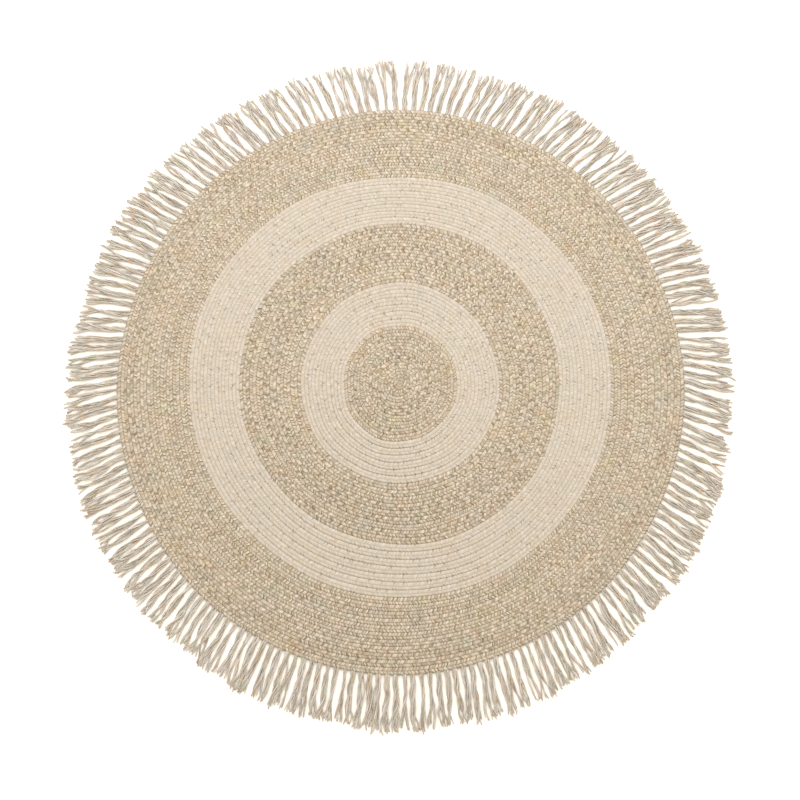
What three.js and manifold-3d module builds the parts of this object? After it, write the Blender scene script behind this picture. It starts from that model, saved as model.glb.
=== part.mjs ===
import * as THREE from 'three';
import { mergeVertices } from 'three/addons/utils/BufferGeometryUtils.js';
import Module from 'manifold-3d';

// A round wool rug, lying flat: flat plaits laced side by side in closed rows, five bands of
// them in two colours, with a fringe of loose cords sewn round the rim.
// Millimetres, +Z up. The origin is the middle of the underside and -Y is the front edge.

const rimRadius = 501; // outside of the last plait row
const crestHeight = 8; // thickness along the middle of a plait
const valleyHeight = 5.8; // thickness where two plaits are laced together
const pieceGap = 0.3; // between one band and the next
const stretches = 52; // straight stretches in each row's round

const beige = 0xcbb9a1;
const cream = 0xdccdb8;
const cordBeige = 0xc8bcaa;

// The bands from the middle out. outer is the radius that a band is wound out to, rows is how
// many plaits lie across it, and drift is how far its outer row sits behind the rug's middle,
// because the hand-wound rows are wider at the front than at the back.
const bands = [
  { name: 'centre_coil', outer: 100, rows: 9, drift: 17, colour: beige },
  { name: 'inner_cream_band', outer: 177, rows: 6, drift: 17.4, colour: cream },
  { name: 'middle_beige_band', outer: 282, rows: 9, drift: 16.3, colour: beige },
  { name: 'outer_cream_band', outer: 373, rows: 7, drift: 11.9, colour: cream },
  { name: 'rim_beige_band', outer: rimRadius, rows: 11, drift: 0, colour: beige },
];

// The slow wander of the rows: how far it swings, how often in a round, and the radius over
// which it turns by one radian. The first makes the rug a little wider than it is deep.
const wanders = [
  { swing: 1.8, times: 2, turnsOver: 319 },
  { swing: 1.2, times: 3, turnsOver: 60 },
  { swing: 0.8, times: 8, turnsOver: -45 },
];
const wanderFrom = 100; // radius from which the wander has its full swing

// The sewn strip that the fringe hangs from, and its cords.
const stripWidth = 3;
const stripHeight = 4;
const cordCount = 208;
const rootInset = 1; // from the strip's inner edge to a cord's root

// How the cords lie, by degrees round from the front, alike on both sides: lean is how far a
// cord leans towards the front in degrees, and reach is how far its tip is from the rim.
const cordLie = [
  { fromFront: 0, lean: 0, reach: 100 },
  { fromFront: 15, lean: 5, reach: 99 },
  { fromFront: 30, lean: 6, reach: 98 },
  { fromFront: 45, lean: 11, reach: 93 },
  { fromFront: 60, lean: 7, reach: 95 },
  { fromFront: 75, lean: 14, reach: 92 },
  { fromFront: 90, lean: 17, reach: 88 },
  { fromFront: 105, lean: 13, reach: 87 },
  { fromFront: 120, lean: 7, reach: 85 },
  { fromFront: 135, lean: 15, reach: 85 },
  { fromFront: 165, lean: 15, reach: 82 },
  { fromFront: 180, lean: 3, reach: 82 },
];

// A cord's section at its root, halfway along it, and at its frayed tip.
const cordSections = [
  { width: 6.8, height: 3.6 },
  { width: 8.0, height: 5.4 },
  { width: 8.8, height: 3.8 },
];
const cordTopShare = 0.6; // the top of a cord is this share of its width
const rootJitter = 0.5; // how unevenly the roots are spaced
const tipJitter = 1.0; // how far a tip strays sideways
const bowMost = 1.2; // how far a cord bows sideways in the middle
const stretchMost = 0.045; // share by which cords differ in length
const gatherMost = 3; // at most this many neighbours draw together
const gatherStep = 4.6; // how much nearer their tips come to each other

const { degToRad, lerp } = THREE.MathUtils;

const wasm = await Module();
wasm.setup();

// A plait row is a low ridge between two valleys, so a band is a flat ring with ridges on top.
function bandProfile(inner, outer, rows) {
  const pitch = (outer - inner) / rows;
  const points = [new THREE.Vector2(inner, 0), new THREE.Vector2(outer, 0)];
  for (let row = rows; row > 0; row -= 1) {
    points.push(new THREE.Vector2(inner + row * pitch, valleyHeight));
    points.push(new THREE.Vector2(inner + (row - 0.5) * pitch, crestHeight));
  }
  points.push(new THREE.Vector2(inner, valleyHeight));
  if (inner > 0) {
    points.push(new THREE.Vector2(inner, 0));
  }
  return points;
}

function spun(points) {
  const geometry = new THREE.LatheGeometry(points, stretches);
  geometry.rotateX(Math.PI / 2);
  return geometry;
}

function driftAt(radius) {
  let inside = { outer: 0, drift: bands[0].drift };
  for (const band of bands) {
    if (radius <= band.outer) {
      const share = (radius - inside.outer) / (band.outer - inside.outer);
      return lerp(inside.drift, band.drift, share);
    }
    inside = band;
  }
  return inside.drift;
}

function wanderAt(radius, angle) {
  const share = Math.min(1, radius / wanderFrom);
  return wanders.reduce(
    (sum, w) => sum + share * w.swing * Math.sin(w.times * angle + radius / w.turnsOver),
    0,
  );
}

// Moves every point from its place on true circles to its place on the hand-wound rounds.
function settle(geometry) {
  const place = geometry.attributes.position;
  for (let i = 0; i < place.count; i += 1) {
    const radius = Math.hypot(place.getX(i), place.getY(i));
    const angle = Math.atan2(place.getY(i), place.getX(i));
    const wound = radius + wanderAt(radius, angle);
    place.setX(i, wound * Math.cos(angle));
    place.setY(i, wound * Math.sin(angle) + driftAt(radius));
  }
  return geometry;
}

function lieAt(fromFront) {
  const after = cordLie.findIndex((row) => row.fromFront >= fromFront);
  const high = cordLie[Math.max(after, 1)];
  const low = cordLie[Math.max(after, 1) - 1];
  const share = (fromFront - low.fromFront) / (high.fromFront - low.fromFront);
  return { lean: lerp(low.lean, high.lean, share), reach: lerp(low.reach, high.reach, share) };
}

// Small even draws from 0 to 1, the same ones each time.
function makeDraw(seed) {
  let state = seed;
  return () => {
    state = (state * 1664525 + 1013904223) % 4294967296;
    return state / 4294967296;
  };
}

// Each cord's own place and lie. turn is degrees round from the front, and rootShift, sway,
// tipShift and bow are distances to its left as seen from the rug's middle.
function layCords() {
  const draw = makeDraw(7);
  const either = (most) => (2 * draw() - 1) * most;
  const cords = [];
  while (cords.length < cordCount) {
    const gathered = Math.min(1 + Math.floor(draw() * gatherMost), cordCount - cords.length);
    for (let k = 0; k < gathered; k += 1) {
      const turn = (360 * (cords.length + 0.5)) / cordCount;
      const { lean, reach } = lieAt(Math.min(turn, 360 - turn));
      const towardsFront = turn < 180 ? -1 : 1;
      cords.push({
        turn,
        rootShift: either(rootJitter),
        sway: towardsFront * Math.tan(degToRad(lean)) * reach,
        tipShift: ((gathered - 1) / 2 - k) * gatherStep + either(tipJitter),
        bow: either(bowMost),
        reach: reach * (1 + either(stretchMost)),
      });
    }
  }
  return cords;
}

// One cord: a long box, level on the floor, bent to its lie and shaped by its sections.
function cordGeometry(cord) {
  const steps = cordSections.length - 1;
  const geometry = new THREE.BoxGeometry(1, 1, 1, steps, 1, 1);
  const place = geometry.attributes.position;
  const rootRadius = rimRadius + pieceGap + rootInset;
  const out = degToRad(cord.turn - 90);
  for (let i = 0; i < place.count; i += 1) {
    const along = place.getX(i) + 0.5;
    const section = cordSections[Math.round(along * steps)];
    const onTop = place.getZ(i) > 0;
    const width = section.width * (onTop ? cordTopShare : 1);
    const middle = cord.rootShift + cord.sway * along + cord.tipShift * along ** 2
      + cord.bow * Math.sin(Math.PI * along);
    const across = middle + place.getY(i) * width;
    const away = rootRadius + along * (cord.reach - rootInset);
    place.setXYZ(
      i,
      away * Math.cos(out) - across * Math.sin(out),
      away * Math.sin(out) + across * Math.cos(out),
      onTop ? section.height : 0,
    );
  }
  return geometry;
}

function solidOf(geometry) {
  geometry.deleteAttribute('normal');
  geometry.deleteAttribute('uv');
  const welded = mergeVertices(geometry);
  return new wasm.Manifold(new wasm.Mesh({
    numProp: 3,
    vertProperties: new Float32Array(welded.attributes.position.array),
    triVerts: new Uint32Array(welded.index.array),
  }));
}

function geometryOf(solid) {
  const mesh = solid.getMesh();
  const geometry = new THREE.BufferGeometry();
  geometry.setAttribute('position', new THREE.Float32BufferAttribute(mesh.vertProperties, 3));
  geometry.setIndex(new THREE.BufferAttribute(mesh.triVerts, 1));
  return geometry;
}

// The strip with all its cords, each joined to it at the root.
function fringeGeometry() {
  const inner = rimRadius + pieceGap;
  const outer = inner + stripWidth;
  let trim = solidOf(spun([
    new THREE.Vector2(inner, 0),
    new THREE.Vector2(outer, 0),
    new THREE.Vector2(outer, stripHeight),
    new THREE.Vector2(inner, stripHeight),
    new THREE.Vector2(inner, 0),
  ]));
  for (const cord of layCords()) {
    trim = trim.add(solidOf(cordGeometry(cord)));
  }
  return geometryOf(trim);
}

function woolMesh(name, geometry, colour) {
  const wool = new THREE.MeshStandardMaterial({ color: colour, roughness: 0.95, metalness: 0 });
  const mesh = new THREE.Mesh(geometry, wool);
  mesh.name = name;
  return mesh;
}

const rug = new THREE.Group();
let inner = 0;
for (const band of bands) {
  const profile = bandProfile(inner, band.outer, band.rows);
  rug.add(woolMesh(band.name, settle(spun(profile)), band.colour));
  inner = band.outer + pieceGap;
}
rug.add(woolMesh('fringe_trim', settle(fringeGeometry()), cordBeige));

export default rug;
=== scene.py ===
import math

import bmesh
import bpy
import numpy as np
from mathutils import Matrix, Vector


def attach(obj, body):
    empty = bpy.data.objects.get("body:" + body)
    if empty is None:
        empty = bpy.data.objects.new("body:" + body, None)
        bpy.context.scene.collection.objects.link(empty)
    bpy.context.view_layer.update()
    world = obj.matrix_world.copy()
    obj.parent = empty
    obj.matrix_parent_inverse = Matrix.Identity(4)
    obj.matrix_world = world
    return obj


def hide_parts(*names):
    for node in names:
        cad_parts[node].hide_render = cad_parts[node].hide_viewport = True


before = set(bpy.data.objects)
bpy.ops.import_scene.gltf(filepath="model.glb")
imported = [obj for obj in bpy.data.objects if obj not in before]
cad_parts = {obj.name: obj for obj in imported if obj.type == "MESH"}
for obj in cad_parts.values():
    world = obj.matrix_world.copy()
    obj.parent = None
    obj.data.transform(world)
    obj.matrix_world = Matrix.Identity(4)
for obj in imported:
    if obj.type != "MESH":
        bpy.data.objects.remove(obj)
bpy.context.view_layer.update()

# A round wool rug seen from straight above: flat three-strand plaits laced side by side in
# closed rounds, five bands in two colours, and a fringe of loose wool cords round the rim.
# Sizes are in millimetres in the dictionaries and become metres when a mesh is written.

metres = 0.001  # one millimetre
fullTurn = 2 * math.pi

rug = {
    "rimRadius": 501,  # the plaits end just inside it, at the heading
    # inner and outer radius, rows of plait across it, and how far the band sits behind the middle
    "bands": [
        {"name": "centre_coil", "outer": 100.9, "rows": 9, "drift": 17, "wool": "beige"},
        {"name": "inner_cream_band", "outer": 176, "rows": 6, "drift": 17.4, "wool": "cream"},
        {"name": "middle_beige_band", "outer": 282, "rows": 9, "drift": 16.3, "wool": "beige"},
        {"name": "outer_cream_band", "outer": 372, "rows": 7, "drift": 11.9, "wool": "cream"},
        {"name": "rim_beige_band", "outer": 497.6, "rows": 11, "drift": 1.3, "wool": "beige"},
    ],
    # the slow wander of the hand-wound rounds: swing, times in a round, radius to turn a radian
    "wanders": [(1.2, 2, -95), (1.2, 3, 60), (0.8, 8, -45)],
    "wanderFrom": 100,  # radius from which they wander in full
    "curlRadius": 46,  # inside this the rounds are wound to an oval
    "curlStretch": 0.13,
    "curlTurn": 0.6,
}


def srgb(code):
    # hex colour to the linear values that the shaders take
    parts = [int(code[i:i + 2], 16) / 255 for i in (1, 3, 5)]
    linear = [p / 12.92 if p <= 0.04045 else ((p + 0.055) / 1.055) ** 2.4 for p in parts]
    return (*linear, 1)


def settled(radius, angle):
    # from true circles in the plane to the rug's own hand-wound rounds
    radius = np.asarray(radius, float)
    share = np.minimum(1, radius / rug["wanderFrom"])
    wander = sum(
        share * swing * np.sin(times * angle + radius / turnsOver)
        for swing, times, turnsOver in rug["wanders"]
    )
    outers = [0] + [band["outer"] for band in rug["bands"]]
    drifts = [rug["bands"][0]["drift"]] + [band["drift"] for band in rug["bands"]]
    curl = rug["curlStretch"] * np.clip(1 - radius / rug["curlRadius"], 0, 1)
    oval = 1 + curl * np.cos(2 * (angle - rug["curlTurn"]))
    wound = (radius + wander) * oval
    return wound * np.cos(angle), wound * np.sin(angle) + np.interp(radius, outers, drifts)


# Camera, light and floor, in metres

shot = {
    "lens": 80,  # millimetres
    "height": 3.14,
    "lookAt": -0.0115,  # in front of the rug's middle
    "daylight": 1.19,
    "sky": "#fffefb",
    "floor": {"reach": 20, "colour": "#ece2d1"},
    "softbox": {"size": 2.6, "height": 2.4, "behind": 1.7, "watts": 112, "colour": "#e2ebff"},
}


def setUpShot():
    lens = bpy.data.cameras.new("camera")
    lens.lens = shot["lens"]
    camera = bpy.data.objects.new("camera", lens)
    camera.location = (0, shot["lookAt"], shot["height"])
    bpy.context.collection.objects.link(camera)
    bpy.context.scene.camera = camera

    world = bpy.data.worlds.new("daylight")
    world.use_nodes = True
    sky = world.node_tree.nodes["Background"]
    sky.inputs["Color"].default_value = srgb(shot["sky"])
    sky.inputs["Strength"].default_value = shot["daylight"]
    bpy.context.scene.world = world
    bpy.context.scene.view_settings.view_transform = "Standard"

    softbox = shot["softbox"]
    lamp = bpy.data.lights.new("softbox", "AREA")
    lamp.shape = "DISK"
    lamp.size = softbox["size"]
    lamp.energy = softbox["watts"]
    lamp.color = srgb(softbox["colour"])[:3]
    light = bpy.data.objects.new("softbox", lamp)
    light.location = (0, softbox["behind"], softbox["height"])
    aim = Vector((0, 0, 0)) - light.location
    light.rotation_euler = aim.to_track_quat("-Z", "Y").to_euler()
    bpy.context.collection.objects.link(light)


def addNode(tree, kind, inputs=(), **settings):
    # one node with its settings; inputs are values, nodes or sockets, in order or by socket name
    node = tree.nodes.new("ShaderNode" + kind)
    for key, value in settings.items():
        setattr(node, key, value)
    sources = inputs.items() if isinstance(inputs, dict) else enumerate(inputs)
    for socket, source in sources:
        if isinstance(source, bpy.types.Node):
            source = source.outputs[0]
        if isinstance(source, bpy.types.NodeSocket):
            tree.links.new(source, node.inputs[socket])
        else:
            node.inputs[socket].default_value = source
    return node


def fillRamp(node, beads):
    ramp = node.color_ramp
    for index, (code, stop) in enumerate(beads):
        bead = ramp.elements[index] if index < 2 else ramp.elements.new(stop)
        bead.position = stop
        bead.color = srgb(code)


def newMaterial(name):
    material = bpy.data.materials.new(name)
    material.use_nodes = True
    material.node_tree.nodes.clear()
    return material, material.node_tree


def layFloor():
    bm = bmesh.new()
    bmesh.ops.create_grid(bm, x_segments=1, y_segments=1, size=shot["floor"]["reach"])
    mesh = bpy.data.meshes.new("floor")
    bm.to_mesh(mesh)
    bm.free()
    floor = bpy.data.objects.new("floor", mesh)
    bpy.context.collection.objects.link(floor)
    material, tree = newMaterial("painted floor")  # matt and warm white, so nothing mirrors in it
    shader = addNode(tree, "BsdfPrincipled", {
        "Base Color": srgb(shot["floor"]["colour"]), "Roughness": 0.9, "Specular IOR Level": 0.0,
    })
    addNode(tree, "OutputMaterial", [shader])
    mesh.materials.append(material)


# Sheets of yarn and plait: flat grids in one mesh, which are then rolled up and bent

def joinedGrids(name, layer, sizes):
    # a grid for each number of steps along and across, and where their points lie
    bm = bmesh.new()
    bm.loops.layers.uv.new(layer)
    for along, across in sizes:
        bmesh.ops.create_grid(bm, x_segments=along, y_segments=across, size=0.5, calc_uvs=True)
    mesh = bpy.data.meshes.new(name)
    bm.to_mesh(mesh)
    bm.free()
    flat = np.empty(len(mesh.vertices) * 3)
    mesh.vertices.foreach_get("co", flat)
    return mesh, flat.reshape(-1, 3)


def weldedPiece(mesh, gap, tiniest=0):
    # closes each rolled grid along its seam, and drops edges shorter than the tiniest one
    bm = bmesh.new()
    bm.from_mesh(mesh)
    bmesh.ops.remove_doubles(bm, verts=bm.verts, dist=gap * metres)
    if tiniest:
        bmesh.ops.dissolve_degenerate(bm, edges=bm.edges, dist=tiniest * metres)
    bmesh.ops.recalc_face_normals(bm, faces=bm.faces)
    for face in bm.faces:
        face.smooth = True
    bm.to_mesh(mesh)
    bm.free()
    piece = bpy.data.objects.new(mesh.name, mesh)
    bpy.context.collection.objects.link(piece)
    return piece


def triangles(piece):
    return len(piece.data.loops) - 2 * len(piece.data.polygons)


# Wool of the plaits

# how much each draw moves a yarn's colour, how deep the painted shade is where strands press
# together and down a row's middle, and the colour of that painted shade
wools = {
    # spun from mixed fleece: pale yarns beside tan and taupe ones, so a plait looks heathered
    "beige": {
        "ramp": [("#6f5f48", 0.02), ("#96866e", 0.32), ("#b0a089", 0.6), ("#c6b8a2", 0.95)],
        "shares": {"yarn": 0.6, "fleck": 0.42, "lobe": 0.02, "stretch": 0.02},
        "groove": 1.25, "middleLine": 0.72, "shadeColour": "#6f5b3e", "speck": 0.0,
        "slot": "beige_plait",
    },
    # one pale fleece: nearly even, with the odd brown thread in a groove
    "cream": {
        "ramp": [("#a2927d", 0.05), ("#ac9f8b", 0.4), ("#b4a693", 0.65), ("#bfb2a0", 0.95)],
        "shares": {"yarn": 0.46, "fleck": 0.39, "lobe": 0.05, "stretch": 0.03},
        "groove": 0.3, "middleLine": 0.55, "shadeColour": "#857457", "speck": 0.65,
        "slot": "cream_plait",
    },
}
spin = {
    "yarnsInStrand": 3,
    "yarnDepth": 0.35,  # relief of the yarns in a strand
    "yarnLift": 0.25,
    "fuzz": 0.5,  # relief of the loose fibre, beside the yarns' own
    "fibre": 1.1,  # size of a tuft of loose fibre
    "paleYarns": 0.5,  # under 1, more yarns are pale than dark
    "paleShift": 0.17,  # and this much darker again on the whole
    # rows in which pale and dark yarns change places twice as often: which ones, and how few
    "quickRows": 0.618,
    "quickFrom": 0.64,
    "stretchStep": 0.12,  # of a lobe, in a yarn's paler and darker stretches
    "laneStep": 3.71,  # keeps the noise of neighbouring yarns apart
    # painted shade: in the grooves between lobes and down each row's middle
    "grooveReach": 0.22,  # how far the dark of a groove reaches into a lobe
    "middleReach": 0.21,  # and that of a row's middle line to its sides
    "looseGrooves": 1.7,  # over 1, most grooves are shallow and a few deep
    "thread": "#5f4d37",
    "rareFrom": 0.86,  # share of the lobes that have no brown thread in them
    "threadAlong": (0.6, 0.1),  # where a thread has faded away and where it is full: in a lobe
    "threadAcross": (0.8, 0.2),  # and from a row's edge
}
# uneven dye: which noise, where in it a patch starts and is full, and what it takes from the wool
mottle = {
    "beige": {"width": 26, "tones": [
        (0, 0.52, 0.72, "#fff9ef"), (0, 0.48, 0.28, "#f5fbff"),
        (5, 0.54, 0.72, "#fffaf9"), (5, 0.46, 0.28, "#fbfff5"),
    ]},
    "cream": {"width": 26, "tones": [
        (0, 0.52, 0.75, "#fffbf4"), (0, 0.48, 0.25, "#fafdff"),
        (5, 0.56, 0.75, "#fffcfb"), (5, 0.44, 0.25, "#fdfffa"),
    ]},
    "yarn": {"width": 15, "tones": [
        (0, 0.52, 0.68, "#fff5e7"), (0, 0.48, 0.32, "#f4f8fc"),
        (5, 0.54, 0.68, "#fff3ef"), (5, 0.46, 0.32, "#f9fdf1"),
    ]},
}


def mottled(tree, colour, kind):
    place = addNode(tree, "TexCoord").outputs["Object"]
    size = 1 / (mottle[kind]["width"] * metres)
    for level, low, high, code in mottle[kind]["tones"]:
        noise = addNode(
            tree, "TexNoise", {"Vector": place, "W": level, "Scale": size, "Detail": 2.0},
            noise_dimensions="4D",
        )
        share = addNode(tree, "MapRange", {0: noise, 1: low, 2: high})
        colour = addNode(
            tree, "Mix", {0: share, 6: colour, 7: srgb(code)},
            data_type="RGBA", blend_type="MULTIPLY",
        ).outputs[2]
    return colour


def woolMaterial(kind):
    wool = wools[kind]
    # spun wool, plaited: dull, with soft sheen from loose fibre
    material, tree = newMaterial("plaited wool " + kind)
    uv = addNode(tree, "UVMap", uv_map="plait")
    along, sideways, _ = addNode(tree, "SeparateXYZ", [uv]).outputs
    row = addNode(tree, "Math", [sideways], operation="FLOOR")
    inRow = addNode(tree, "Math", [sideways], operation="FRACT")
    across = addNode(tree, "Math", [inRow, 2.0, -1.0], operation="MULTIPLY_ADD")
    near = addNode(tree, "Math", [across, 0.0], operation="LESS_THAN")
    lobe = addNode(tree, "Math", [along], operation="FLOOR")
    phase = addNode(tree, "Math", [along], operation="FRACT")
    # three strands take turns along each side of a row, each of a few yarns side by side
    strands = float(plait["strands"])
    count = float(spin["yarnsInStrand"])
    turn = addNode(tree, "Math", [near, lobe], operation="SUBTRACT")
    strand = addNode(tree, "Math", [turn, strands], operation="FLOORED_MODULO")
    strandKey = addNode(tree, "Math", [row, strands, strand], operation="MULTIPLY_ADD")
    inStrand = addNode(tree, "Math", [phase, count], operation="MULTIPLY")
    yarn = addNode(tree, "Math", [inStrand], operation="FLOOR")
    yarnKey = addNode(tree, "Math", [strandKey, count, yarn], operation="MULTIPLY_ADD")

    # a row's yarns run evenly from dark to pale, in another order in each row
    rowDraw = addNode(tree, "TexWhiteNoise", {"W": row}, noise_dimensions="1D")
    first = addNode(tree, "Math", [rowDraw, count * strands], operation="MULTIPLY")
    turned = addNode(tree, "Math", [row, spin["quickRows"]], operation="MULTIPLY")
    turned = addNode(tree, "Math", [turned], operation="FRACT")
    leap = addNode(tree, "Math", [turned, spin["quickFrom"]], operation="GREATER_THAN")
    leap = addNode(tree, "Math", [2.0, leap], operation="POWER")
    order = addNode(tree, "Math", [yarnKey, leap, first], operation="MULTIPLY_ADD")
    order = addNode(tree, "Math", [order, count * strands], operation="FLOORED_MODULO")
    order = addNode(tree, "Math", [order, count * strands], operation="DIVIDE")
    draws = {"yarn": addNode(tree, "Math", [order, spin["paleYarns"]], operation="POWER")}

    # even draws for each lobe and for each yarn in it, and a slow one along each yarn
    lobeYarn = addNode(tree, "Math", [lobe, count, yarn], operation="MULTIPLY_ADD")
    aside = addNode(tree, "Math", [near, 5.5], operation="ADD")  # so specks get draws of their own
    keys = {"lobe": (lobe, row, near), "fleck": (lobeYarn, row, near), "speck": (lobe, row, aside)}
    for name, key in keys.items():
        at = addNode(tree, "CombineXYZ", key)
        draws[name] = addNode(tree, "TexWhiteNoise", [at], noise_dimensions="3D")
    slow = addNode(tree, "Math", [along, spin["stretchStep"]], operation="MULTIPLY")
    lane = addNode(tree, "Math", [yarnKey, spin["laneStep"]], operation="MULTIPLY")
    at = addNode(tree, "CombineXYZ", [slow, lane])
    draws["stretch"] = addNode(
        tree, "TexNoise", {"Vector": at, "Scale": 1.0, "Detail": 0.0}, noise_dimensions="2D",
    )
    shade = 0.5 - sum(wool["shares"].values()) / 2 - spin["paleShift"] * wool["shares"]["yarn"]
    for name, share in wool["shares"].items():
        shade = addNode(tree, "Math", [draws[name], share, shade], operation="MULTIPLY_ADD")
    colour = addNode(tree, "ValToRGB", [shade])
    fillRamp(colour, wool["ramp"])

    colour = mottled(tree, colour, kind)

    # painted shade where strands meet: the wool's colour is darkened towards a shade colour
    # between lobes, each as deep as it is pressed, and down the row's middle
    fromNext = addNode(tree, "Math", [1.0, phase], operation="SUBTRACT")
    toGroove = addNode(tree, "Math", [phase, fromNext], operation="MINIMUM")
    toMiddle = addNode(tree, "Math", [across], operation="ABSOLUTE")
    toEdge = addNode(tree, "Math", [1.0, toMiddle], operation="SUBTRACT")
    _, pressed, _ = addNode(tree, "SeparateColor", [draws["lobe"].outputs["Color"]]).outputs
    pressed = addNode(tree, "Math", [pressed, spin["looseGrooves"]], operation="POWER")
    inGroove = addNode(tree, "Math", [pressed, -wool["groove"], 1.0], operation="MULTIPLY_ADD")
    light = 1.0
    for reach, width, least in (
        (toGroove, spin["grooveReach"], inGroove),
        (toMiddle, spin["middleReach"], 1 - wool["middleLine"]),
    ):
        left = addNode(tree, "MapRange", {0: reach, 1: 0.0, 2: width, 3: least, 4: 1.0})
        light = addNode(tree, "Math", [light, left], operation="MULTIPLY")
    # the wool's colour is mixed towards the colour of the painted shade
    colour = addNode(
        tree, "Mix", {0: light, 6: srgb(wool["shadeColour"]), 7: colour}, data_type="RGBA",
    ).outputs[2]
    if wool["speck"]:
        # now and then a short brown thread shows at one end of a lobe, near the row's edge
        rare = addNode(tree, "Math", [draws["speck"], spin["rareFrom"]], operation="GREATER_THAN")
        gone, full = spin["threadAlong"]
        short = addNode(tree, "MapRange", {0: phase, 1: gone, 2: full, 4: wool["speck"]})
        gone, full = spin["threadAcross"]
        narrow = addNode(tree, "MapRange", {0: toEdge, 1: gone, 2: full})
        thread = addNode(tree, "Math", [short, narrow], operation="MULTIPLY")
        thread = addNode(tree, "Math", [rare, thread], operation="MULTIPLY")
        colour = addNode(
            tree, "Mix", {0: thread, 6: colour, 7: srgb(spin["thread"])}, data_type="RGBA",
        ).outputs[2]

    # yarns lie side by side in each strand, with loose fibre over them
    lay = addNode(tree, "Math", [inStrand, fullTurn], operation="MULTIPLY")
    wave = addNode(tree, "Math", [lay], operation="COSINE")
    ridge = addNode(tree, "Math", [wave, -spin["yarnLift"]], operation="MULTIPLY")
    place = addNode(tree, "TexCoord").outputs["Object"]
    fibres = addNode(
        tree, "TexNoise", {"Vector": place, "Scale": 1 / (spin["fibre"] * metres), "Detail": 3.0},
    )
    relief = addNode(tree, "Math", [fibres, spin["fuzz"], ridge], operation="MULTIPLY_ADD")
    bump = addNode(tree, "Bump", {
        "Height": relief, "Distance": spin["yarnDepth"] * metres, "Strength": 0.7,
    })
    shader = addNode(tree, "BsdfPrincipled", {
        "Base Color": colour, "Roughness": 0.9, "IOR": 1.54, "Specular IOR Level": 0.2,
        "Sheen Weight": 0.2, "Sheen Roughness": 0.5, "Normal": bump,
    })
    addNode(tree, "OutputMaterial", [shader])
    return material


# Plaited bands

plait = {
    "period": 17.15,  # length in which a strand crosses to and fro once
    "periodSpread": 0.022,  # how unevenly the rows were plaited
    "pullSwing": 0.3,  # and how unevenly along each, in lobes
    "pulls": (0.011, 0.023, 0.05),  # times in each lobe that the pull comes and goes
    "strands": 3,
    "stepsInLobe": 3,  # mesh steps along each visible lobe of a strand
    "crown": [0, 1, 0.8],  # share of a lobe's rise at each step
    # half a row's section, from the middle of its top round to the middle of its underside:
    # share of half the width, how far the strands have run on in lobes, groove height, rise
    "section": [
        (0, 0, 6.8, 0.15), (0.4, 0.2, 6.75, 1.0), (0.8, 0.4, 6.65, 0.95), (1, 0.52, 6.25, 0.4),
        (1, 0.52, 1.7, 0), (0, 0, 0.3, -0.3),
    ],
    "sideRuns": (0.7, 1.15),  # the lobes lean more on a row's far side than on its near side
    "rowGap": 0.04,
    "heightJitter": 0.16,  # how unevenly the lobes stand up
    "edgeSwing": 0.45,  # how unevenly the rows were laced, and how many times in a round
    "edgeTimes": (2, 5, 9, 14),
    # the lacing is pulled deepest at the rug's front and least at its two sides:
    # millimetres, times in a round, degrees at which it is deepest
    "pulledIn": [(0.46, 1, -107), (0.42, 2, -100)],
}


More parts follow.
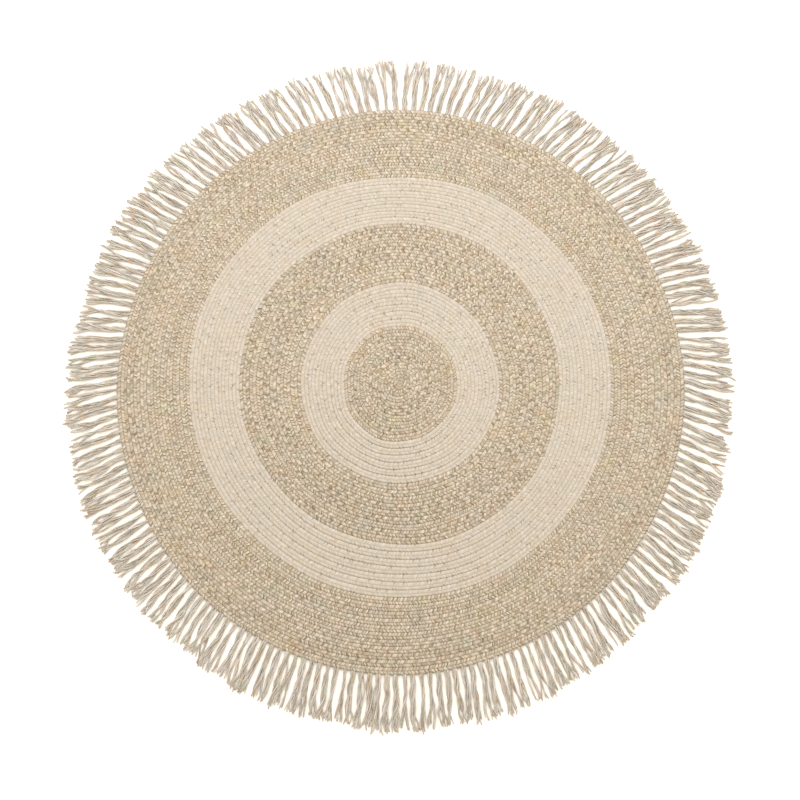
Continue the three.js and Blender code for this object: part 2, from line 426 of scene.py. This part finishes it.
def plaitBand(name, inner, outer, rows, firstRow, seed):
    # each row is a grid rolled round its own section and bent round the rug's middle
    draw = np.random.default_rng(seed)
    pitch = (outer - inner) / rows
    steps = plait["stepsInLobe"]
    half = plait["section"]
    section = np.array([(-a, s, z, r) for a, s, z, r in half[::-1]] + half[1:])
    faces = len(section) - 1
    # the near side's lobes lie half a lobe behind the far side's
    near = section[:, 0] < 0
    section[:, 1] *= np.where(near, *plait["sideRuns"])
    section[near, 1] += 1 / (2 * steps)
    counts = []
    for row in range(rows):
        length = fullTurn * (inner + (row + 0.5) * pitch)
        uneven = draw.normal(1, plait["periodSpread"])
        counts.append(max(2, round(length / plait["period"] * uneven)) * plait["strands"])
    mesh, flat = joinedGrids(name, "plait", [(lobes * steps, faces) for lobes in counts])
    placed = np.zeros_like(flat)
    columnOf = np.zeros(len(flat), int)
    cellOf = np.zeros(len(flat), int)
    rowOf = np.zeros(len(flat), int)
    edges = lacedEdges(rows, draw)
    start = 0
    for row, lobes in enumerate(counts):
        span = slice(start, start + (lobes * steps + 1) * (faces + 1))
        start = span.stop
        column = np.rint((flat[span, 0] + 0.5) * lobes * steps).astype(int)
        cell = np.rint((flat[span, 1] + 0.5) * faces).astype(int)
        across, run, groove, rise = section[cell].T
        behind = column - near[cell]
        crown = np.array(plait["crown"])[behind % steps]
        jitter = draw.normal(0, plait["heightJitter"], (2, lobes))
        crown = crown + jitter[near[cell].astype(int), behind // steps % lobes]
        place = column / steps / lobes
        pull = 0
        for perLobe in plait["pulls"]:
            swings = round(perLobe * lobes) + 1
            pull = pull + np.sin(fullTurn * (swings * place + draw.random())) * draw.uniform(0.5, 1)
        pull = pull * plait["pullSwing"]
        angle = fullTurn * (place + (run + pull) / lobes + draw.random())
        pulledIn = sum(
            depth * np.cos(times * (angle - math.radians(deepest)))
            for depth, times, deepest in plait["pulledIn"]
        )
        atLacing = (np.abs(across) == 1) & (rise > 0)
        height = np.maximum(0, groove + rise * crown - np.where(atLacing, pulledIn, 0))
        share = (1 + across * (1 - plait["rowGap"] / pitch)) / 2
        low = row * pitch + edges[row](angle)
        high = (row + 1) * pitch + edges[row + 1](angle)
        x, y = settled(inner + low + share * (high - low), angle)
        placed[span] = np.stack([x, y, height], 1) * metres
        columnOf[span] = column
        cellOf[span] = cell
        rowOf[span] = row + firstRow
    mesh.vertices.foreach_set("co", placed.ravel())

    # the uv map counts lobes along a row and rows across the rug, with each lobe from its groove
    vertexOf = np.empty(len(mesh.loops), int)
    mesh.loops.foreach_get("vertex_index", vertexOf)
    cells = cellOf[vertexOf]
    nearFace = np.repeat(cells.reshape(-1, 4).max(1) <= faces // 2, 4)
    # a corner on a row's middle line counts as just on its own face's side of it, and one on the
    # row's edge as just inside the row
    side = section[cells, 0]
    side = np.where(side == 0, np.where(nearFace, -0.001, 0.001), side)
    halfRow = 0.499
    uv = np.empty((len(mesh.loops), 2))
    uv[:, 0] = (columnOf[vertexOf] - nearFace) / steps
    uv[:, 1] = rowOf[vertexOf] + 0.5 + halfRow * side
    mesh.uv_layers["plait"].data.foreach_set("uv", uv.ravel())
    return weldedPiece(mesh, 0.002, 0.001)


def lacedEdges(rows, draw):
    # the lines along which neighbouring rows are laced, even only at a band's own edges
    def line(swings):
        return lambda angle: sum(s * np.sin(n * angle + p) for s, n, p in swings)

    even = line([(0, 1, 0)])
    edges = [even]
    for _ in range(rows - 1):
        swings = [
            (plait["edgeSwing"] * draw.uniform(0.3, 1), times, draw.uniform(0, fullTurn))
            for times in plait["edgeTimes"]
        ]
        edges.append(line(swings))
    return [*edges, even]


def makeBands():
    materials = {kind: woolMaterial(kind) for kind in wools}
    inner = 0
    firstRow = 0
    for number, band in enumerate(rug["bands"]):
        outer, rows = band["outer"], band["rows"]
        pitch = (outer - inner) / rows
        parts = [(band["name"], inner, outer, rows, firstRow)]
        if number == len(rug["bands"]) - 1:
            # the widest band is made as two halves, because it has the most rounds
            near = rows // 2
            between = inner + near * pitch
            parts = [
                ("rim_inner_rows", inner, between, near, firstRow),
                ("rim_outer_rows", between, outer, rows - near, firstRow + near),
            ]
        for name, low, high, count, first in parts:
            pieceName = name if name.startswith("rim_") else name.replace("_band", "_plaits")
            piece = plaitBand(pieceName + "_wool", low, high, count, first, 11 + first)
            piece.data.materials.append(materials[band["wool"]])
            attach(piece, "root")
            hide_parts(band["name"])
            print("plaited", piece.name, triangles(piece), "triangles")
        firstRow += rows
        inner = outer


# Fringe

fringe = {
    "cords": 208,
    "rootInset": -4.5,  # the cords are drawn through the outer edge of the last plait
    # degrees round from the front, lean towards the front in degrees, reach beyond the rim
    "lie": [
        (0, 0, 100), (15, 5, 99), (30, 6, 98), (45, 11, 93), (60, 7, 95), (75, 14, 92),
        (90, 17, 88), (105, 13, 87), (120, 7, 85), (135, 15, 85), (165, 15, 82), (180, 3, 82),
    ],
    "rootJitter": 0.5,
    "tipJitter": 1.0,
    "bowMost": 1.2,
    "stretchMost": 0.045,
    "gatherMost": 3,  # cords whose tips lie together
    "gatherStep": 4.6,
    "yarnRadius": 1.2,
    "yarnPoints": 19,
    "yarnSides": 5,
    # a cord is two or three loose bunches of yarns that part and close again along it
    "bunches": [2, 3, 3],
    "yarnsInBunch": [2, 3, 3, 4],
    "twistOver": 150,  # length in which the bunches go once round each other
    "bunchTwistOver": 60,  # the same for the yarns of a bunch
    "bunchRadius": 1.3,
    # place along a cord, half its width and half its height to the bunches' middles
    "swell": [
        (0, 2.3, 0.1), (0.06, 3.1, 0.5), (0.2, 3.0, 0.9), (0.45, 2.8, 1.0), (0.65, 4.0, 0.8),
        (0.8, 5.6, 0.6), (1, 6.4, 0.2),
    ],
    "rootLift": 3.4,  # how far a cord's root stands up, over the heading
    "sWave": 1.9,  # how far a cord snakes
    "snakeTimes": 0.9,
    "splayFrom": 0.55,  # place along a cord where its yarns begin to part
    "splayMost": 5.5,
    "splayBend": 1.3,
    "wobble": 0.65,  # how far a yarn strays to and fro, and how many times
    "wobbleTimes": (1.3, 3.1),
    "strayShare": 0.05,
    "strayMost": 5,
    # how fast each of these comes in along a cord, where 5 is full at a fifth of its length
    "comesIn": {"wobble": 5, "snake": 3, "bunchWidth": 2, "bunchHeight": 8, "rootDrop": 9},
    "atRoot": {"bunchWidth": 0.7, "bunchHeight": 0.2},  # shares of the full size there
    # the least and the most of its usual value that each of these may be
    "uneven": {
        "twist": (0.3, 1.5), "snake": (0.2, 1), "bunchReach": (0.93, 1.01),
        "bunchTwist": (0.6, 1.2), "yarnReach": (0.95, 1.04), "wobble": (0.3, 1),
        "thickness": (0.85, 1.12),
    },
    "quarters": ["front", "right", "back", "left"],
}


# stations along a yarn: close together at its two rounded ends, even between them
between = np.linspace(0, 1, fringe["yarnPoints"] - 4)
fringe["stations"] = np.array([0, 0.004, *between[1:-1], 0.982, 0.995, 1])
fringe["taper"] = np.interp(fringe["stations"], [0.6, 1], [1, 0.9])
fringe["taper"][[0, -2, -1]] = 0, 0.5, 0


def evenDraws(state):
    # the same small draws from 0 to 1 as the solid fringe was laid with
    factor, shift, size = 1664525, 1013904223, 2 ** 32
    while True:
        state = (state * factor + shift) % size
        yield state / size


def layCords():
    draws = evenDraws(7)

    def either(most):
        return (2 * next(draws) - 1) * most

    cords = []
    count = fringe["cords"]
    places, leans, reaches = zip(*fringe["lie"])
    while len(cords) < count:
        gathered = min(1 + int(next(draws) * fringe["gatherMost"]), count - len(cords))
        for k in range(gathered):
            turn = 360 * (len(cords) + 0.5) / count
            fromFront = min(turn, 360 - turn)
            lean = math.radians(np.interp(fromFront, places, leans))
            reach = float(np.interp(fromFront, places, reaches))
            towardsFront = -1 if turn < 180 else 1
            cords.append({
                "turn": turn,
                "rootShift": either(fringe["rootJitter"]),
                "sway": towardsFront * math.tan(lean) * reach,
                "tipShift": ((gathered - 1) / 2 - k) * fringe["gatherStep"]
                + either(fringe["tipJitter"]),
                "bow": either(fringe["bowMost"]),
                "reach": reach * (1 + either(fringe["stretchMost"])),
            })
    return cords


def yarnLines(cord, draw):
    # the middle lines of one cord's yarns, twisted loosely together and splayed at the tip
    spread, width, height = zip(*fringe["swell"])
    comesIn, atRoot, uneven = fringe["comesIn"], fringe["atRoot"], fringe["uneven"]
    thick = fringe["yarnRadius"]
    bunches = int(draw.choice(fringe["bunches"]))
    startTurn, snakeAt = draw.uniform(0, fullTurn, 2)
    twist = fullTurn * cord["reach"] / fringe["twistOver"] * draw.uniform(*uneven["twist"])
    snake = draw.uniform(*uneven["snake"]) * fringe["sWave"]
    out = math.radians(cord["turn"] - 90)
    rootRadius = rug["rimRadius"] + fringe["rootInset"]
    for bunch in range(bunches):
        yarns = int(draw.choice(fringe["yarnsInBunch"]))
        bunchReach = cord["reach"] * draw.uniform(*uneven["bunchReach"])
        bunchTurn = draw.uniform(0, fullTurn)
        drawn = fullTurn * cord["reach"] / fringe["bunchTwistOver"]
        drawn = drawn * draw.uniform(*uneven["bunchTwist"])
        for yarn in range(yarns):
            reach = bunchReach * draw.uniform(*uneven["yarnReach"])
            along = fringe["stations"] * reach / cord["reach"]
            angle = startTurn + fullTurn * bunch / bunches + twist * along
            lay = bunchTurn + fullTurn * yarn / yarns + drawn * along
            free = np.clip((along - fringe["splayFrom"]) / (1 - fringe["splayFrom"]), 0, 1.1)
            close = np.minimum(1, atRoot["bunchWidth"] + along * comesIn["bunchWidth"])
            across = np.interp(along, spread, width) * np.cos(angle)
            across = across + fringe["bunchRadius"] * close * np.cos(lay)
            across = across + (
                free ** fringe["splayBend"] * draw.normal(0, 0.5) * fringe["splayMost"]
            )
            stray = fringe["strayMost"] * draw.normal() * (draw.random() < fringe["strayShare"])
            across = across + stray * np.sin(math.pi * along) ** 2
            for times in fringe["wobbleTimes"]:
                wobble = fringe["wobble"] * draw.uniform(*uneven["wobble"])
                wobble = wobble * np.minimum(1, along * comesIn["wobble"])
                across = across + wobble * np.sin(
                    fullTurn * times * along + draw.uniform(0, fullTurn))

            # the thickest yarn just touches the floor, and a cord falls to it from the heading
            up = uneven["thickness"][1] * thick
            up = up + fringe["rootLift"] * np.clip(1 - along * comesIn["rootDrop"], 0, 1) ** 1.5
            up = up + np.interp(along, spread, height) * (1 + np.sin(angle))
            low = np.minimum(1, atRoot["bunchHeight"] + along * comesIn["bunchHeight"])
            low = low * (1 - 0.6 * free)
            up = up + fringe["bunchRadius"] * close * (1 + np.sin(lay)) * low

            snaking = snake * np.minimum(1, along * comesIn["snake"])
            snaking = snaking * np.sin(snakeAt + fullTurn * fringe["snakeTimes"] * along)
            middle = (cord["rootShift"] + cord["sway"] * along + cord["tipShift"] * along ** 2
                      + cord["bow"] * np.sin(math.pi * along) + snaking)
            away = rootRadius + along * (cord["reach"] - fringe["rootInset"])
            side = middle + across
            x = away * math.cos(out) - side * math.sin(out)
            y = away * math.sin(out) + side * math.cos(out)
            x, y = settled(np.hypot(x, y), np.arctan2(y, x))
            radius = thick * draw.uniform(*uneven["thickness"]) * fringe["taper"]
            yield np.stack([x, y, up], 1) * metres, radius * metres


def rolledYarns(name, lines, sides, closed=False):
    # each yarn is a grid rolled round its middle line, drawn in to a point at both ends
    mesh, flat = joinedGrids(name, "yarn", [(len(points) - 1, sides) for points, _ in lines])
    placed = np.zeros_like(flat)
    # the uv map runs along each yarn, with the yarn's number added
    uv = np.empty(len(mesh.loops) * 2)
    mesh.uv_layers["yarn"].data.foreach_get("uv", uv)
    uv = uv.reshape(-1, 2)
    start = 0
    corner = 0
    for number, (points, radius) in enumerate(lines):
        count = len(points)
        span = slice(start, start + count * (sides + 1))
        start = span.stop
        ahead = np.gradient(points, axis=0)
        if closed:
            ahead[0] = ahead[-1] = points[1] - points[-2]
        side = np.cross(ahead, (0, 0, 1))
        side /= np.linalg.norm(side, axis=1)[:, None]
        up = np.cross(side, ahead)
        up /= np.linalg.norm(up, axis=1)[:, None]
        column = np.rint((flat[span, 0] + 0.5) * (count - 1)).astype(int)
        around = fullTurn * (flat[span, 1] + 0.5)
        ring = side[column] * np.cos(around)[:, None] + up[column] * np.sin(around)[:, None]
        placed[span] = points[column] + ring * radius[column, None]
        corners = 4 * (count - 1) * sides
        uv[corner:corner + corners, 0] += number
        corner += corners
    mesh.vertices.foreach_set("co", placed.ravel())
    mesh.uv_layers["yarn"].data.foreach_set("uv", uv.ravel())
    return weldedPiece(mesh, 0.001)


yarnWool = {
    "ramp": [("#958673", 0.05), ("#aa9e8b", 0.38), ("#b9ad9b", 0.64), ("#cac0b1", 0.95)],
    "plyTurns": 11,  # turns of the plies in a yarn's length
    "plies": 2,
    "plyDepth": 0.35,
    "plyShade": 0.4,
    "fibre": 0.9,  # size of a tuft of loose fibre
    "stretches": 7.0,  # darker and paler stretches in a yarn's length
    "stretchShare": 1.5,  # how much they move its colour, and how much its own draw does
    "ownShare": 0.5,
    "laneStep": 4.31,  # keeps the noise of neighbouring yarns apart
}


def yarnMaterial(name, beads):
    # loosely plied wool: matt and hairy, each yarn its own shade of beige, taupe or grey
    material, tree = newMaterial(name)
    uv = addNode(tree, "UVMap", uv_map="yarn")
    along, around, _ = addNode(tree, "SeparateXYZ", [uv]).outputs
    yarn = addNode(tree, "Math", [along], operation="FLOOR")
    inYarn = addNode(tree, "Math", [along], operation="FRACT")
    own = addNode(tree, "TexWhiteNoise", {"W": yarn}, noise_dimensions="1D")
    lane = addNode(tree, "Math", [yarn, yarnWool["laneStep"]], operation="MULTIPLY")
    # each yarn has darker and paler stretches
    run = addNode(tree, "Math", [inYarn, yarnWool["stretches"]], operation="MULTIPLY")
    at = addNode(tree, "CombineXYZ", [run, lane])
    stretches = addNode(tree, "TexNoise", {"Vector": at, "Scale": 1.0, "Detail": 2.0})
    shade = addNode(
        tree, "Math", [stretches, yarnWool["stretchShare"], -0.5], operation="MULTIPLY_ADD",
    )
    shade = addNode(tree, "Math", [own, yarnWool["ownShare"], shade], operation="MULTIPLY_ADD")
    colour = addNode(tree, "ValToRGB", [shade])
    fillRamp(colour, beads)
    colour = mottled(tree, colour, "yarn")

    # the plies wind round the yarn, with painted shade in between, and loose fibre over them
    wound = addNode(
        tree, "Math", [inYarn, float(yarnWool["plyTurns"]), around], operation="MULTIPLY_ADD",
    )
    lay = addNode(tree, "Math", [wound, math.pi * yarnWool["plies"]], operation="MULTIPLY")
    wave = addNode(tree, "Math", [lay], operation="SINE")
    plies = addNode(tree, "Math", [wave], operation="ABSOLUTE")
    between = addNode(tree, "MapRange", {0: plies, 1: 0.7, 2: 0.0, 4: yarnWool["plyShade"]})
    colour = addNode(
        tree, "Mix", {0: between, 6: colour, 7: srgb(beads[0][0])}, data_type="RGBA",
    ).outputs[2]
    place = addNode(tree, "TexCoord").outputs["Object"]
    fibres = addNode(
        tree, "TexNoise",
        {"Vector": place, "Scale": 1 / (yarnWool["fibre"] * metres), "Detail": 2.0},
    )
    relief = addNode(tree, "Math", [fibres, 0.5, plies], operation="MULTIPLY_ADD")
    bump = addNode(tree, "Bump", {
        "Height": relief, "Distance": yarnWool["plyDepth"] * metres, "Strength": 0.8,
    })
    shader = addNode(tree, "BsdfPrincipled", {
        "Base Color": colour, "Roughness": 0.92, "IOR": 1.54, "Specular IOR Level": 0.2,
        "Sheen Weight": 0.2, "Normal": bump,
    })
    addNode(tree, "OutputMaterial", [shader])
    return material


def makeFringe():
    material = yarnMaterial("plied wool yarn", yarnWool["ramp"])
    draw = np.random.default_rng(23)
    quarters = {name: [] for name in fringe["quarters"]}
    for cord in layCords():
        quarter = fringe["quarters"][int(((cord["turn"] + 45) % 360) // 90)]
        quarters[quarter].extend(yarnLines(cord, draw))
    for quarter, lines in quarters.items():
        piece = rolledYarns("fringe_" + quarter, lines, fringe["yarnSides"])
        piece.data.materials.append(material)
        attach(piece, "root")
        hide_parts("fringe_trim")
        print("fringe", quarter, len(lines), "yarns,", triangles(piece), "triangles")


# The heading: a two-ply cord whipped along the rim, which the fringe hangs from

heading = {
    "radius": 498.2, "middle": 3.2, "plyRadius": 0.6, "plyOffset": 0.4,
    "pitch": 12, "pointsInPitch": 7, "sides": 4,
    "ramp": [("#9b8d77", 0.2), ("#b3a58f", 0.5), ("#c3b7a2", 0.8), ("#cec3b0", 0.95)],
}


def makeHeading():
    turns = round(fullTurn * heading["radius"] / heading["pitch"])
    place = np.linspace(0, 1, turns * heading["pointsInPitch"] + 1)
    lines = []
    for ply in (0, 0.5):
        lay = fullTurn * (turns * place + ply)
        radius = heading["radius"] + heading["plyOffset"] * np.cos(lay)
        x, y = settled(radius, fullTurn * place)
        up = heading["middle"] + heading["plyOffset"] * np.sin(lay)
        points = np.stack([x, y, up], 1) * metres
        points[-1] = points[0]
        lines.append((points, np.full(len(points), heading["plyRadius"] * metres)))
    piece = rolledYarns("fringe_heading", lines, heading["sides"], closed=True)
    piece.data.materials.append(yarnMaterial("whipped heading cord", heading["ramp"]))
    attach(piece, "root")
    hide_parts("fringe_trim")
    print("heading", triangles(piece), "triangles")


setUpShot()
layFloor()
makeBands()
print("bands done")
makeHeading()
makeFringe()
print("fringe done")

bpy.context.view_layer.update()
